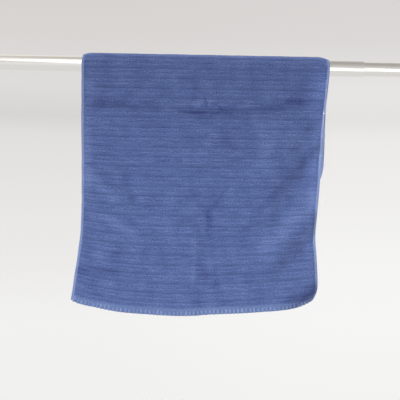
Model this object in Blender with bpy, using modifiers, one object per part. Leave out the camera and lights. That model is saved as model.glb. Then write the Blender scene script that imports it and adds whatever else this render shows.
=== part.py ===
"""Bath towel hung over a telescopic rod, each piece a closed solid at its real size.

The frame: X runs along the rod from its left end, Y points away from the viewer,
and Z points up. The origin is the middle of the rod's left end face. The towel is
one length of ribbed terry, with its front layer on the viewer's side of the rod.
Lengths are in metres.
"""

import math

import bmesh
import bpy

# Rod: a wide tube, and a narrow tube that slides in it
ROD_LENGTH = 0.930
WIDE_TUBE_LENGTH = 0.791
WIDE_TUBE_RADIUS = 0.0160
NARROW_TUBE_RADIUS = 0.0140
NARROW_TUBE_START = 0.560
TUBE_WALL = 0.0010
TUBE_END_THICKNESS = 0.0020
TUBE_EDGE_RADIUS = 0.0007
MOUTH_LIP_LENGTH = 0.0060
RUNNING_GAP = 0.0003
TUBE_SIDES = 48
EDGE_STEPS = 3

# Towel as it was cut and hemmed
TOWEL_WIDTH = 0.500
TOWEL_LENGTH = 0.800
END_HEM = 0.015
SIDE_HEM = 0.008
FIRST_GROOVE = 0.027
GROOVE_COUNT = 39
RIB_PITCH = 0.01965
END_RIB_PITCH = 0.01855
END_RIBS = 4
GROOVE_HALF_WIDTH = 0.0016
RIB_THICKNESS = 0.0046
GROOVE_THICKNESS = 0.0028
HEM_THICKNESS = 0.0038

# Towel as it hangs
TOWEL_MIDDLE = 0.4714
ROD_CLEARANCE = 0.0004
BEND_RADIUS = WIDE_TUBE_RADIUS + ROD_CLEARANCE + RIB_THICKNESS / 2
FRONT_DROP = 0.503
QUARTER_BEND = BEND_RADIUS * math.pi / 2
CREST = FRONT_DROP + QUARTER_BEND
BACK_DROP = TOWEL_LENGTH - CREST - QUARTER_BEND
BEND_STEP = 0.0042
SAG_POWER = 1.9
FOLD_START = 0.030
FOLD_END_SHARE = 0.25
EDGE_ROLL = 0.003
EDGE_ROLL_POWER = 8
TIGHT_MARGIN = 0.35

# Columns of points across the towel, as shares of its width
COLUMNS = (0.0, SIDE_HEM / TOWEL_WIDTH, 0.055, 0.11, 0.175, 0.24, 0.31, 0.38, 0.44, 0.49,
           0.54, 0.61, 0.68, 0.75, 0.82, 0.885, 0.94, 1.0 - SIDE_HEM / TOWEL_WIDTH, 1.0)

# Where the side edges hang, from the towel's middle line.
# Columns: distance along the cloth from the front hem, left edge, right edge
EDGES = (
    (0.000, -0.2655, 0.2352),
    (0.030, -0.2605, 0.2342),
    (0.057, -0.2576, 0.2330),
    (0.083, -0.2538, 0.2319),
    (0.110, -0.2504, 0.2306),
    (0.160, -0.2456, 0.2288),
    (0.200, -0.2450, 0.2302),
    (0.250, -0.2458, 0.2330),
    (0.300, -0.2465, 0.2355),
    (0.390, -0.2474, 0.2398),
    (0.450, -0.2488, 0.2456),
    (0.503, -0.2494, 0.2492),
    (0.518, -0.2480, 0.2450),
    (0.532, -0.2440, 0.2335),
    (0.546, -0.2480, 0.2450),
    (0.562, -0.2495, 0.2490),
    (0.650, -0.2500, 0.2474),
    (0.740, -0.2500, 0.2462),
    (0.800, -0.2500, 0.2450),
)

# How far each hem stands above its lowest point, because the side hems are tight.
# Columns: share of the width, front hem, back hem
HEM_LIFT = (
    (0.00, 0.0270, 0.0110),
    (0.035, 0.0205, 0.0085),
    (0.10, 0.0145, 0.0060),
    (0.20, 0.0068, 0.0030),
    (0.30, 0.0026, 0.0010),
    (0.42, 0.0000, 0.0000),
    (0.50, 0.0016, 0.0000),
    (0.58, 0.0052, 0.0008),
    (0.70, 0.0092, 0.0020),
    (0.80, 0.0128, 0.0040),
    (0.88, 0.0160, 0.0062),
    (1.00, 0.0225, 0.0100),
)

# Folds of the front layer, from the towel's middle line and the rod's axis. Each is
# full over the middle half of its line and eases out towards its ends.
# Columns: upper end x and z, lower end x and z, half width, rise towards the viewer
FRONT_FOLDS = (
    (-0.014, 0.010, 0.013, -0.200, 0.015, 0.0016),     # pressed crease down the middle
    (0.004, -0.225, 0.007, -0.620, 0.026, -0.0028),    # its lower half, folded the other way
    (-0.340, -0.072, 0.020, -0.0955, 0.016, -0.0034),  # pressed crease across, left half
    (-0.060, -0.107, 0.285, -0.063, 0.015, -0.0036),   # pressed crease across, right half
    (0.235, -0.060, 0.090, -0.288, 0.028, 0.0042),     # upper slanting ridge at the right
    (0.275, -0.118, 0.118, -0.334, 0.024, -0.0050),    # trough below it
    (0.280, -0.215, 0.100, -0.440, 0.040, 0.0068),     # lower slanting ridge at the right
    (0.306, -0.236, 0.127, -0.461, 0.028, -0.0034),    # trough below it
    (-0.252, -0.193, -0.139, -0.290, 0.022, 0.0038),   # upper short ridge at the left
    (-0.226, -0.281, -0.105, -0.346, 0.022, 0.0038),   # lower short ridge at the left
    (-0.262, -0.262, -0.165, -0.315, 0.014, -0.0028),  # trough between them
    (-0.175, -0.150, -0.125, -0.310, 0.026, -0.0022),  # trough on their right
    (-0.190, -0.330, -0.150, -0.560, 0.060, 0.0040),   # soft swelling down to the hem
)

# Folds of the back layer, in the same columns, rising away from the viewer
BACK_FOLDS = (
    (-0.004, 0.040, 0.002, -0.340, 0.014, 0.0030),     # pressed crease down the middle
    (-0.155, -0.050, -0.120, -0.330, 0.060, 0.0065),   # soft ridge at the left
    (0.125, -0.040, 0.165, -0.330, 0.055, 0.0075),     # soft ridge at the right
)

# The hems are drawn in round the corners, the most at the front layer's right corner.
# Columns: share of the width at the corner, distance along the cloth, how far drawn in
CORNERS = (
    (0.0, 0.0, 0.0015),
    (1.0, 0.0, 0.0060),
    (0.0, TOWEL_LENGTH, 0.0030),
    (1.0, TOWEL_LENGTH, 0.0050),
)
CORNER_REACH = 0.045

# That corner also rolls back about a slanting line
CORNER_ROLL_START = (0.206, -0.438)
CORNER_ROLL_TOWARDS = (0.6, -0.8)
CORNER_ROLL_RADIUS = 0.045

# Plain colours
MATERIALS = {
    "towel": ((0.092, 0.128, 0.325, 1.0), 0.95, 0.0),
    "wide_tube": ((0.78, 0.77, 0.75, 1.0), 0.28, 1.0),
    "narrow_tube": ((0.78, 0.77, 0.75, 1.0), 0.28, 1.0),
}


def clear_scene():
    """Removes whatever the file held before."""
    for item in list(bpy.data.objects):
        bpy.data.objects.remove(item)


def plain_material(name):
    """A Principled material with the part's colour, roughness and metallic value."""
    colour, roughness, metallic = MATERIALS[name]
    material = bpy.data.materials.new(name)
    material.use_nodes = True
    shader = material.node_tree.nodes["Principled BSDF"]
    shader.inputs["Base Color"].default_value = colour
    shader.inputs["Roughness"].default_value = roughness
    shader.inputs["Metallic"].default_value = metallic
    return material


def add_object(name, bm, collection):
    """Turns a bmesh into a named object with its own material."""
    mesh = bpy.data.meshes.new(name)
    bm.to_mesh(mesh)
    bm.free()
    mesh.materials.append(plain_material(name))
    item = bpy.data.objects.new(name, mesh)
    collection.objects.link(item)
    return item


def smooth_value(table, column, position):
    """Reads one column of a table at a position, with a curve that doesn't overshoot."""
    if position <= table[0][0]:
        return table[0][column]
    if position >= table[-1][0]:
        return table[-1][column]
    row = max(i for i in range(len(table) - 1) if table[i][0] <= position)
    slopes = [segment_slope(table, column, i) for i in (row - 1, row, row + 1)]
    start_slope = shared_slope(slopes[0], slopes[1])
    end_slope = shared_slope(slopes[1], slopes[2])
    span = table[row + 1][0] - table[row][0]
    share = (position - table[row][0]) / span
    low, high = table[row][column], table[row + 1][column]
    square, cube = share ** 2, share ** 3
    return (
        (2 * cube - 3 * square + 1) * low
        + (cube - 2 * square + share) * span * start_slope
        + (3 * square - 2 * cube) * high
        + (cube - square) * span * end_slope
    )


def segment_slope(table, column, row):
    """Slope of one segment of a table. The first and last segments go on past its ends."""
    row = min(max(row, 0), len(table) - 2)
    rise = table[row + 1][column] - table[row][column]
    return rise / (table[row + 1][0] - table[row][0])


def shared_slope(before, after):
    """Slope at a table's point: zero at a turning point, and else between its two sides."""
    if before * after <= 0:
        return 0.0
    return 2 * before * after / (before + after)


def fold_rise(fold, x, z):
    """Height of one fold at a place on the flat layer, easing out at its sides and ends."""
    top_x, top_z, low_x, low_z, half_width, rise = fold
    run_x, run_z = low_x - top_x, low_z - top_z
    length = math.hypot(run_x, run_z)
    along = ((x - top_x) * run_x + (z - top_z) * run_z) / length
    aside = abs((x - top_x) * run_z - (z - top_z) * run_x) / length
    past_full = max(abs(along / length - 0.5) - (0.5 - FOLD_END_SHARE), 0.0)
    reach = math.hypot(aside / half_width, past_full / FOLD_END_SHARE)
    return rise * (1 + math.cos(math.pi * reach)) / 2 if reach < 1 else 0.0


def corner_pull(across, along):
    """How far a point is drawn in from the side edge and from the hem."""
    pull_x = pull_z = 0.0
    for side, end, drawn_in in CORNERS:
        from_side = abs(across - side) * TOWEL_WIDTH / CORNER_REACH
        from_end = abs(along - end) / CORNER_REACH
        if from_side < 1 and from_end < 1:
            amount = drawn_in * (1 - from_side) ** 2 * (1 - from_end) ** 2
            pull_x += amount if side == 0.0 else -amount
            pull_z += amount
    return pull_x, pull_z


def tight_share(across, depth):
    """The share of the width at which to read a hem's lift, at a depth from 0 to 1.

    High on the cloth the tight side hems lift only the margins beside them.
    """
    low_point = min(HEM_LIFT, key=lambda row: row[1])[0]
    margin = TIGHT_MARGIN + (1 - TIGHT_MARGIN) * depth ** 2
    if across < low_point:
        return min(across / margin, low_point)
    return max(1 - (1 - across) / margin, low_point)


def roll_corner(x, z):
    """Rolls the front layer's right corner back. Gives the new x and z, and how far back."""
    toward_x, toward_z = CORNER_ROLL_TOWARDS
    beyond = (x - CORNER_ROLL_START[0]) * toward_x + (z - CORNER_ROLL_START[1]) * toward_z
    if beyond <= 0:
        return x, z, 0.0
    angle = beyond / CORNER_ROLL_RADIUS
    drawn_in = beyond - CORNER_ROLL_RADIUS * math.sin(angle)
    back = CORNER_ROLL_RADIUS * (1 - math.cos(angle))
    return x - toward_x * drawn_in, z - toward_z * drawn_in, back


def draped_point(across, along):
    """Where a point of the cloth's middle surface hangs.

    across is a share of the width from the left edge, and along is the distance
    from the front hem: down the front is along < CREST, and the back is beyond it.
    """
    left = smooth_value(EDGES, 1, along)
    right = smooth_value(EDGES, 2, along)
    x = left + across * (right - left)
    from_crest = along - CREST
    side = -1.0 if from_crest < 0 else 1.0
    below_axis = abs(from_crest) - QUARTER_BEND
    if below_axis <= 0:
        angle = from_crest / BEND_RADIUS
        y, z = BEND_RADIUS * math.sin(angle), BEND_RADIUS * math.cos(angle)
        return TOWEL_MIDDLE + x, y, z
    depth = below_axis / (FRONT_DROP if side < 0 else BACK_DROP)
    lift = smooth_value(HEM_LIFT, 1 if side < 0 else 2, tight_share(across, depth))
    pull_x, pull_z = corner_pull(across, along)
    x += pull_x
    z = -below_axis + lift * depth ** SAG_POWER + pull_z
    folds = FRONT_FOLDS if side < 0 else BACK_FOLDS
    ease = min(1.0, below_axis / FOLD_START)
    rise = ease * sum(fold_rise(fold, x, z) for fold in folds)
    rise -= ease * EDGE_ROLL * abs(2 * across - 1) ** EDGE_ROLL_POWER
    back = 0.0
    if side < 0:
        x, z, back = roll_corner(x, z)
    return TOWEL_MIDDLE + x, side * (BEND_RADIUS + rise) + back, z


def groove_distances():
    """Distance of each groove from the front hem. The ribs beside the hems are closer."""
    distances = [FIRST_GROOVE]
    for gap in range(GROOVE_COUNT - 1):
        at_an_end = gap < END_RIBS or gap >= GROOVE_COUNT - 1 - END_RIBS
        distances.append(distances[-1] + (END_RIB_PITCH if at_an_end else RIB_PITCH))
    return distances


def towel_rows():
    """Rows of points along the cloth, each with its distance and whether it is a groove."""
    rows = [(0.0, False), (END_HEM, False)]
    for middle in groove_distances():
        rows.append((middle - GROOVE_HALF_WIDTH, False))
        rows.append((middle, True))
        rows.append((middle + GROOVE_HALF_WIDTH, False))
    rows += [(TOWEL_LENGTH - END_HEM, False), (TOWEL_LENGTH, False)]
    finer = [rows[0]]
    for row in rows[1:]:
        start = finer[-1][0]
        on_bend = abs((start + row[0]) / 2 - CREST) < QUARTER_BEND + RIB_PITCH / 2
        steps = math.ceil((row[0] - start) / BEND_STEP) if on_bend else 1
        finer += [(start + (row[0] - start) * step / steps, False) for step in range(1, steps)]
        finer.append(row)
    return finer


def cloth_thickness(column, row):
    """Thickness at a point: hems are flat, grooves are thin, and the ribs stand between them."""
    distance, is_groove = row
    in_side_hem = column in (0, 1, len(COLUMNS) - 2, len(COLUMNS) - 1)
    in_end_hem = distance <= END_HEM or distance >= TOWEL_LENGTH - END_HEM
    if in_side_hem or in_end_hem:
        return HEM_THICKNESS
    return GROOVE_THICKNESS if is_groove else RIB_THICKNESS


def build_towel(collection):
    """The towel: a grid laid over the rod by the drape, then given its thickness."""
    rows = towel_rows()
    bm = bmesh.new()
    bmesh.ops.create_grid(bm, x_segments=len(COLUMNS) - 1, y_segments=len(rows) - 1, size=0.5)
    bm.verts.ensure_lookup_table()
    weights = []
    for index, vertex in enumerate(bm.verts):
        row, column = divmod(index, len(COLUMNS))
        vertex.co = draped_point(COLUMNS[column], rows[row][0])
        weights.append(cloth_thickness(column, rows[row]) / RIB_THICKNESS)
    towel = add_object("towel", bm, collection)
    group = towel.vertex_groups.new(name="thickness")
    for index, weight in enumerate(weights):
        group.add([index], weight, "REPLACE")
    shell = towel.modifiers.new("terry", "SOLIDIFY")
    shell.thickness = RIB_THICKNESS
    shell.offset = 0.0
    shell.vertex_group = group.name
    towel.data.shade_smooth()
    return towel


def rounded_corner(radius, height, inward, turn):
    """Points round a tube's outer edge, on an arc about a centre one edge radius inside."""
    points = []
    for step in range(EDGE_STEPS + 1):
        angle = (turn[0] + (turn[1] - turn[0]) * step / EDGE_STEPS) * math.pi / 2
        out = radius - TUBE_EDGE_RADIUS + TUBE_EDGE_RADIUS * math.cos(angle)
        up = height + inward * TUBE_EDGE_RADIUS + TUBE_EDGE_RADIUS * math.sin(angle)
        points.append((out, up))
    return points


def build_tube(name, radius, mouth_radius, length, collection):
    """A tube closed at its foot and open at its mouth, turned about its own Z axis."""
    inside = radius - TUBE_WALL
    profile = [(0.0, TUBE_END_THICKNESS), (inside, TUBE_END_THICKNESS)]
    if mouth_radius < inside:
        profile.append((inside, length - MOUTH_LIP_LENGTH - TUBE_WALL))
        profile.append((mouth_radius, length - MOUTH_LIP_LENGTH))
    profile.append((mouth_radius, length))
    profile += rounded_corner(radius, length, -1, (1, 0))
    profile += rounded_corner(radius, 0.0, 1, (0, -1))
    profile.append((0.0, 0.0))
    bm = bmesh.new()
    points = [bm.verts.new((out, 0.0, up)) for out, up in profile]
    for start, end in zip(points, points[1:]):
        bm.edges.new((start, end))
    tube = add_object(name, bm, collection)
    turning = tube.modifiers.new("turned", "SCREW")
    turning.steps = TUBE_SIDES
    turning.render_steps = TUBE_SIDES
    turning.use_merge_vertices = True
    turning.merge_threshold = 0.00001
    turning.use_smooth_shade = True
    return tube


def build_rod(collection):
    """Both tubes of the rod. The narrow one runs on inside the wide one."""
    mouth_radius = NARROW_TUBE_RADIUS + RUNNING_GAP
    wide = build_tube("wide_tube", WIDE_TUBE_RADIUS, mouth_radius, WIDE_TUBE_LENGTH, collection)
    wide.rotation_euler = (0.0, math.pi / 2, 0.0)
    inside = NARROW_TUBE_RADIUS - TUBE_WALL
    length = ROD_LENGTH - NARROW_TUBE_START
    narrow = build_tube("narrow_tube", NARROW_TUBE_RADIUS, inside, length, collection)
    narrow.rotation_euler = (0.0, -math.pi / 2, 0.0)
    narrow.location = (ROD_LENGTH, 0.0, 0.0)


def main():
    clear_scene()
    collection = bpy.data.collections.new("bath_towel_on_rod")
    bpy.context.scene.collection.children.link(collection)
    build_rod(collection)
    build_towel(collection)


main()
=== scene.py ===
# %% [markdown]
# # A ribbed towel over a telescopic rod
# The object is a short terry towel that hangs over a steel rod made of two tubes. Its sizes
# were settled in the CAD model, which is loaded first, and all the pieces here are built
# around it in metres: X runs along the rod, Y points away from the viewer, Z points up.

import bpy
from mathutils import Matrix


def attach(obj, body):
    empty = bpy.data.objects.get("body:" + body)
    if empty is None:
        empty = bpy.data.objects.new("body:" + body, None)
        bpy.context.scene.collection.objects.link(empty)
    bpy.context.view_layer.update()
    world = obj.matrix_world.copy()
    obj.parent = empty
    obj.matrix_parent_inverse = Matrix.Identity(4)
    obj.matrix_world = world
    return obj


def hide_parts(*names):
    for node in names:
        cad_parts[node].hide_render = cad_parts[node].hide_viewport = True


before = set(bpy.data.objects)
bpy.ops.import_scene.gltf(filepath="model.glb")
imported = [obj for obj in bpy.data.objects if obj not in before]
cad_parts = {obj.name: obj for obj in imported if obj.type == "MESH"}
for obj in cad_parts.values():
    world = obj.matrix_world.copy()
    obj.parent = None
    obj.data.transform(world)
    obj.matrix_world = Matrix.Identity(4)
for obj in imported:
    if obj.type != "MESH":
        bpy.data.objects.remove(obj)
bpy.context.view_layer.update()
print("CAD nodes:", sorted(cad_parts))

# %% [markdown]
# ## Camera
# The photograph was taken straight on, level with the middle of the towel, by a camera held
# about one degree askew. A camera could be aimed by eye, but then nothing else can be judged
# against the picture. Here its focal length is given in pixels of the picture, so that a
# length on the rod can be turned into pixels by hand.

# %% Camera
import math

import bpy

PHOTO_WIDTH = 400
FOCAL_PIXELS = 788.18
SENSOR_WIDTH = 36.0
CAMERA_PLACE = (0.465, -1.600, -0.2712)
CAMERA_ROLL = math.radians(1.1)

bpy.ops.object.select_all(action="DESELECT")
bpy.ops.object.camera_add(
    location=CAMERA_PLACE, rotation=(math.pi / 2, -CAMERA_ROLL, 0.0)
)
camera = bpy.context.object
camera.name = "camera"
camera.data.sensor_width = SENSOR_WIDTH
camera.data.lens = SENSOR_WIDTH * FOCAL_PIXELS / PHOTO_WIDTH
bpy.context.scene.camera = camera
print("lens in mm:", round(camera.data.lens, 1))

# %% [markdown]
# ## The towel as it was made
# It is one length of cloth, 500 mm wide and 800 mm long. The loops of the pile stand in
# bands that run across the width, with a narrow groove between every two, and the long sides
# and the ends are turned in as hems, which have no pile. All of that is known before the
# towel is hung, so it is written down as sizes of the flat cloth.

# %% Sizes of the flat cloth
TOWEL_WIDTH = 0.500
TOWEL_LENGTH = 0.800
END_HEM = 0.015
SIDE_HEM = 0.006
FIRST_GROOVE = 0.027
GROOVE_COUNT = 39
RIB_PITCH = 0.01965
END_RIB_PITCH = 0.01855
END_RIBS = 4
GROOVE_HALF_WIDTH = 0.0016


def groove_distances():
    """Distance of each groove from the front hem. The bands beside the hems are narrower."""
    distances = [FIRST_GROOVE]
    for gap in range(GROOVE_COUNT - 1):
        at_an_end = gap < END_RIBS or gap >= GROOVE_COUNT - 1 - END_RIBS
        distances.append(distances[-1] + (END_RIB_PITCH if at_an_end else RIB_PITCH))
    return distances


GROOVES = groove_distances()
print("grooves:", len(GROOVES), "last one at", round(GROOVES[-1], 4))

# %% [markdown]
# ## How the towel hangs
# A cloth simulation would find a drape, but not this one, and not the same one on another
# machine. The drape is therefore a rule: it says where each point of the flat cloth hangs.
# Small tables hold what is uneven about it, such as the lines of the side edges and how far
# the tight side hems lift the corners. The CAD solid was shaped by the same rule, so the
# cloth lies on it. The tables here are a millimetre or two closer to the picture, and a
# little more at the corners of the bend, where the side edges are drawn in.

# %% Sizes of the drape
TOWEL_MIDDLE = 0.4714
TUBE_RADIUS = 0.0160
BEND_RADIUS = 0.0187
FRONT_DROP = 0.503
QUARTER_BEND = BEND_RADIUS * math.pi / 2
CREST = FRONT_DROP + QUARTER_BEND
BACK_DROP = TOWEL_LENGTH - CREST - QUARTER_BEND
SAG_POWER = 1.9
FOLD_START = 0.030
FOLD_END_SHARE = 0.25
EDGE_ROLL = 0.003
EDGE_ROLL_POWER = 8
TIGHT_MARGIN = 0.35

# Columns: distance along the cloth from the front hem, left edge, right edge
EDGES = (
    (0.000, -0.2638, 0.2352),
    (0.030, -0.2586, 0.2342),
    (0.057, -0.2556, 0.2330),
    (0.083, -0.2520, 0.2316),
    (0.110, -0.2492, 0.2296),
    (0.160, -0.2448, 0.2268),
    (0.200, -0.2442, 0.2286),
    (0.250, -0.2446, 0.2326),
    (0.300, -0.2454, 0.2355),
    (0.390, -0.2480, 0.2398),
    (0.450, -0.2488, 0.2456),
    (0.503, -0.2494, 0.2492),
    (0.518, -0.2484, 0.2480),
    (0.525, -0.2474, 0.2448),
    (0.532, -0.2450, 0.2388),
    (0.539, -0.2474, 0.2448),
    (0.546, -0.2484, 0.2480),
    (0.562, -0.2495, 0.2490),
    (0.650, -0.2500, 0.2474),
    (0.740, -0.2500, 0.2462),
    (0.800, -0.2500, 0.2450),
)

# Columns: share of the width, lift of the front hem, lift of the back hem
HEM_LIFT = (
    (0.00, 0.0253, 0.0110),
    (0.035, 0.0188, 0.0085),
    (0.10, 0.0130, 0.0060),
    (0.20, 0.0050, 0.0030),
    (0.30, 0.0010, 0.0010),
    (0.42, -0.0016, 0.0000),
    (0.50, -0.0006, 0.0000),
    (0.58, 0.0030, 0.0008),
    (0.70, 0.0066, 0.0020),
    (0.80, 0.0108, 0.0040),
    (0.88, 0.0144, 0.0062),
    (1.00, 0.0218, 0.0100),
)

# Columns: share of the width at the corner, distance along the cloth, how far drawn in
CORNERS = (
    (0.0, 0.0, 0.0015),
    (1.0, 0.0, 0.0060),
    (0.0, TOWEL_LENGTH, 0.0030),
    (1.0, TOWEL_LENGTH, 0.0050),
)
CORNER_REACH = 0.045
CORNER_ROLL_START = (0.206, -0.438)
CORNER_ROLL_TOWARDS = (0.6, -0.8)
CORNER_ROLL_RADIUS = 0.045
print("front drop", FRONT_DROP, "back drop", round(BACK_DROP, 3))

# %% [markdown]
# ## Folds and creases
# A towel that was folded for a shelf keeps two pressed creases, one down its middle and one
# across, and where they cross the pile is crumpled. The hanging cloth adds soft ridges and
# troughs of its own. Each is a line with a height and a half width that eases out at its
# sides and ends, so a fold can be read off the picture and typed in as one row. Shade and
# light that the folds don't give by themselves are painted into the colour of the pile:
# painted shade in the creases, on the shaded flanks and at the rolled corner, and painted
# light on lit ridges, along the side edges and over the top of the bend. Those marks are
# lines of the same kind, in a table of their own.

# %% Folds and creases
# Columns: upper end x and z, lower end x and z, half width, rise towards the viewer
FRONT_FOLDS = (
    (-0.014, 0.010, 0.013, -0.200, 0.015, 0.0016),
    (0.004, -0.225, 0.007, -0.620, 0.026, -0.0028),
    (-0.340, -0.072, 0.020, -0.0955, 0.016, -0.0034),
    (-0.060, -0.107, 0.285, -0.063, 0.015, -0.0036),
    (0.235, -0.060, 0.090, -0.288, 0.028, 0.0042),
    (0.275, -0.118, 0.118, -0.334, 0.024, -0.0050),
    (0.280, -0.215, 0.100, -0.440, 0.040, 0.0068),
    (0.306, -0.236, 0.127, -0.461, 0.028, -0.0034),
    (-0.252, -0.193, -0.139, -0.290, 0.022, 0.0038),
    (-0.226, -0.281, -0.105, -0.346, 0.022, 0.0038),
    (-0.262, -0.262, -0.165, -0.315, 0.014, -0.0028),
    (-0.175, -0.150, -0.125, -0.310, 0.026, -0.0022),
    (-0.190, -0.330, -0.150, -0.560, 0.060, 0.0040),
)

BACK_FOLDS = (
    (-0.004, 0.040, 0.002, -0.340, 0.014, 0.0030),
    (-0.155, -0.050, -0.120, -0.330, 0.060, 0.0065),
    (0.125, -0.040, 0.165, -0.330, 0.055, 0.0075),
)

# Small crumples of the front layer, most of them where the two creases cross
CRUMPLES = (
    (-0.060, -0.0985, 0.006, -0.0970, 0.0055, -0.0024),
    (-0.054, -0.0890, 0.004, -0.0885, 0.0060, 0.0014),
    (-0.012, -0.0640, -0.004, -0.0880, 0.0080, 0.0016),
    (0.034, -0.0710, 0.014, -0.0890, 0.0055, -0.0016),
    (0.010, -0.0930, 0.022, -0.1120, 0.0060, -0.0018),
    (0.052, -0.0775, 0.082, -0.0755, 0.0050, -0.0016),
    (0.064, -0.0985, 0.092, -0.0975, 0.0055, -0.0016),
    (-0.206, -0.0800, -0.122, -0.0835, 0.0060, -0.0016),
    (0.150, -0.0760, 0.212, -0.0690, 0.0070, -0.0020),
    (-0.030, -0.2380, 0.006, -0.2680, 0.0090, -0.0018),
    (0.044, -0.2400, 0.010, -0.2800, 0.0090, -0.0020),
)

# Marks of painted shade and light: dark ones are painted shade, pale ones painted light
# Columns: upper end x and z, lower end x and z, half width, how much paler
PAINTED_SHADE_AND_LIGHT = (
    (-0.300, -0.0760, -0.050, -0.0890, 0.018, -0.19),
    (-0.070, -0.0920, 0.110, -0.0950, 0.016, -0.24),
    (0.080, -0.0890, 0.260, -0.0660, 0.016, -0.15),
    (0.150, -0.0710, 0.205, -0.0710, 0.013, -0.16),
    (-0.022, -0.0690, -0.010, -0.0890, 0.012, 0.18),
    (-0.038, -0.0938, 0.010, -0.0962, 0.0062, -0.36),
    (-0.060, -0.0905, -0.034, -0.0950, 0.0045, -0.26),
    (-0.001, -0.0620, 0.004, -0.0890, 0.0040, -0.30),
    (0.010, -0.0740, 0.038, -0.0900, 0.0038, -0.32),
    (0.014, -0.0990, 0.042, -0.0880, 0.0036, -0.14),
    (0.000, -0.0700, 0.020, -0.0730, 0.0045, 0.24),
    (0.016, -0.0860, 0.030, -0.0830, 0.0045, 0.20),
    (0.052, -0.0750, 0.086, -0.0760, 0.0045, -0.22),
    (-0.014, -0.3200, -0.018, -0.4600, 0.0060, 0.12),
    (0.050, -0.0980, 0.050, -0.1780, 0.030, -0.13),
    (0.012, -0.1040, 0.008, -0.1800, 0.008, 0.07),
    (-0.034, -0.2400, 0.016, -0.3150, 0.008, -0.14),
    (0.054, -0.2360, 0.012, -0.2980, 0.011, -0.16),
    (0.011, -0.2700, 0.009, -0.3650, 0.010, -0.06),
    (0.014, -0.2500, 0.005, -0.4900, 0.012, -0.07),
    (0.006, -0.2500, 0.036, -0.4900, 0.011, -0.13),
    (0.015, -0.3250, 0.105, -0.3350, 0.014, -0.11),
    (0.000, -0.4050, 0.050, -0.4750, 0.020, -0.10),
    (0.236, -0.1500, 0.082, -0.3280, 0.014, -0.14),
    (0.095, -0.1150, 0.195, -0.1350, 0.035, 0.07),
    (0.255, -0.2300, 0.105, -0.3900, 0.032, 0.23),
    (0.250, -0.2500, 0.150, -0.4050, 0.013, -0.09),
    (0.150, -0.4080, 0.215, -0.4250, 0.014, 0.07),
    (0.160, -0.4810, 0.250, -0.4290, 0.018, -0.22),
    (0.158, -0.5080, 0.258, -0.4210, 0.009, -0.30),
    (-0.236, 0.0100, -0.234, -0.3000, 0.017, 0.19),
    (0.228, -0.0800, 0.212, -0.3500, 0.011, 0.12),
    (-0.245, -0.2140, -0.160, -0.2870, 0.018, 0.19),
    (-0.215, -0.2980, -0.125, -0.3460, 0.016, 0.17),
    (-0.168, -0.2050, -0.135, -0.2900, 0.013, -0.08),
    (-0.275, -0.4140, -0.150, -0.4200, 0.015, -0.20),
    (0.130, -0.1100, 0.115, -0.2400, 0.036, 0.11),
    (-0.020, -0.0200, -0.022, -0.0850, 0.012, -0.12),
    (-0.600, 0.0175, 0.600, 0.0175, 0.0055, 0.12),
    (-0.125, -0.3700, -0.072, -0.3760, 0.018, -0.08),
    (0.072, -0.4330, 0.128, -0.4380, 0.015, -0.10),
)


def fold_rise(fold, x, z):
    """Height of one fold at a place on the flat layer, easing out at its sides and ends."""
    top_x, top_z, low_x, low_z, half_width, rise = fold
    run_x, run_z = low_x - top_x, low_z - top_z
    length = math.hypot(run_x, run_z)
    along = ((x - top_x) * run_x + (z - top_z) * run_z) / length
    aside = abs((x - top_x) * run_z - (z - top_z) * run_x) / length
    past_full = max(abs(along / length - 0.5) - (0.5 - FOLD_END_SHARE), 0.0)
    reach = math.hypot(aside / half_width, past_full / FOLD_END_SHARE)
    return rise * (1 + math.cos(math.pi * reach)) / 2 if reach < 1 else 0.0


print("folds:", len(FRONT_FOLDS) + len(BACK_FOLDS), "crumples:", len(CRUMPLES),
      "tones:", len(PAINTED_SHADE_AND_LIGHT))

# %% [markdown]
# ## Reading the tables smoothly
# Straight lines between the rows of a table would show as kinks in the cloth. A cubic curve
# is smooth, and it stays between its two rows if its slope at a row is the harmonic mean of
# the slopes on either side, and zero at a turning point.


# %% Smooth tables
def segment_slope(table, column, row):
    """Slope of one segment of a table. The first and last segments go on past its ends."""
    row = min(max(row, 0), len(table) - 2)
    rise = table[row + 1][column] - table[row][column]
    return rise / (table[row + 1][0] - table[row][0])


def shared_slope(before, after):
    """Slope at a table's point: zero at a turning point, and else between its two sides."""
    if before * after <= 0:
        return 0.0
    return 2 * before * after / (before + after)


def smooth_value(table, column, position):
    """Reads one column of a table at a position, with a curve that doesn't overshoot."""
    if position <= table[0][0]:
        return table[0][column]
    if position >= table[-1][0]:
        return table[-1][column]
    row = max(i for i in range(len(table) - 1) if table[i][0] <= position)
    slopes = [segment_slope(table, column, i) for i in (row - 1, row, row + 1)]
    start_slope = shared_slope(slopes[0], slopes[1])
    end_slope = shared_slope(slopes[1], slopes[2])
    span = table[row + 1][0] - table[row][0]
    share = (position - table[row][0]) / span
    low, high = table[row][column], table[row + 1][column]
    square, cube = share ** 2, share ** 3
    return (
        (2 * cube - 3 * square + 1) * low
        + (cube - 2 * square + share) * span * start_slope
        + (3 * square - 2 * cube) * high
        + (cube - square) * span * end_slope
    )


print("left edge at mid drop:", round(smooth_value(EDGES, 1, 0.25), 4))

# %% [markdown]
# ## The rule of the drape
# The front layer hangs from the crest of the rod on the viewer's side and the back layer on
# the other, with half a turn round the rod between them. The folds push a layer outwards,
# the hems lift towards the corners, and the front layer's right corner rolls back. A weak
# noise is added on top, because no cloth hangs quite flat between its folds.

# %% Drape rule
from mathutils import Vector, noise

BROAD_WAVE = 0.075
BROAD_WAVE_RISE = 0.0011
CLOSE_WAVE = 0.026
CLOSE_WAVE_RISE = 0.0006
CLOSE_WAVE_STRETCH = 0.6
BROAD_SEED = 3.7
CLOSE_SEED = 8.1


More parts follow.
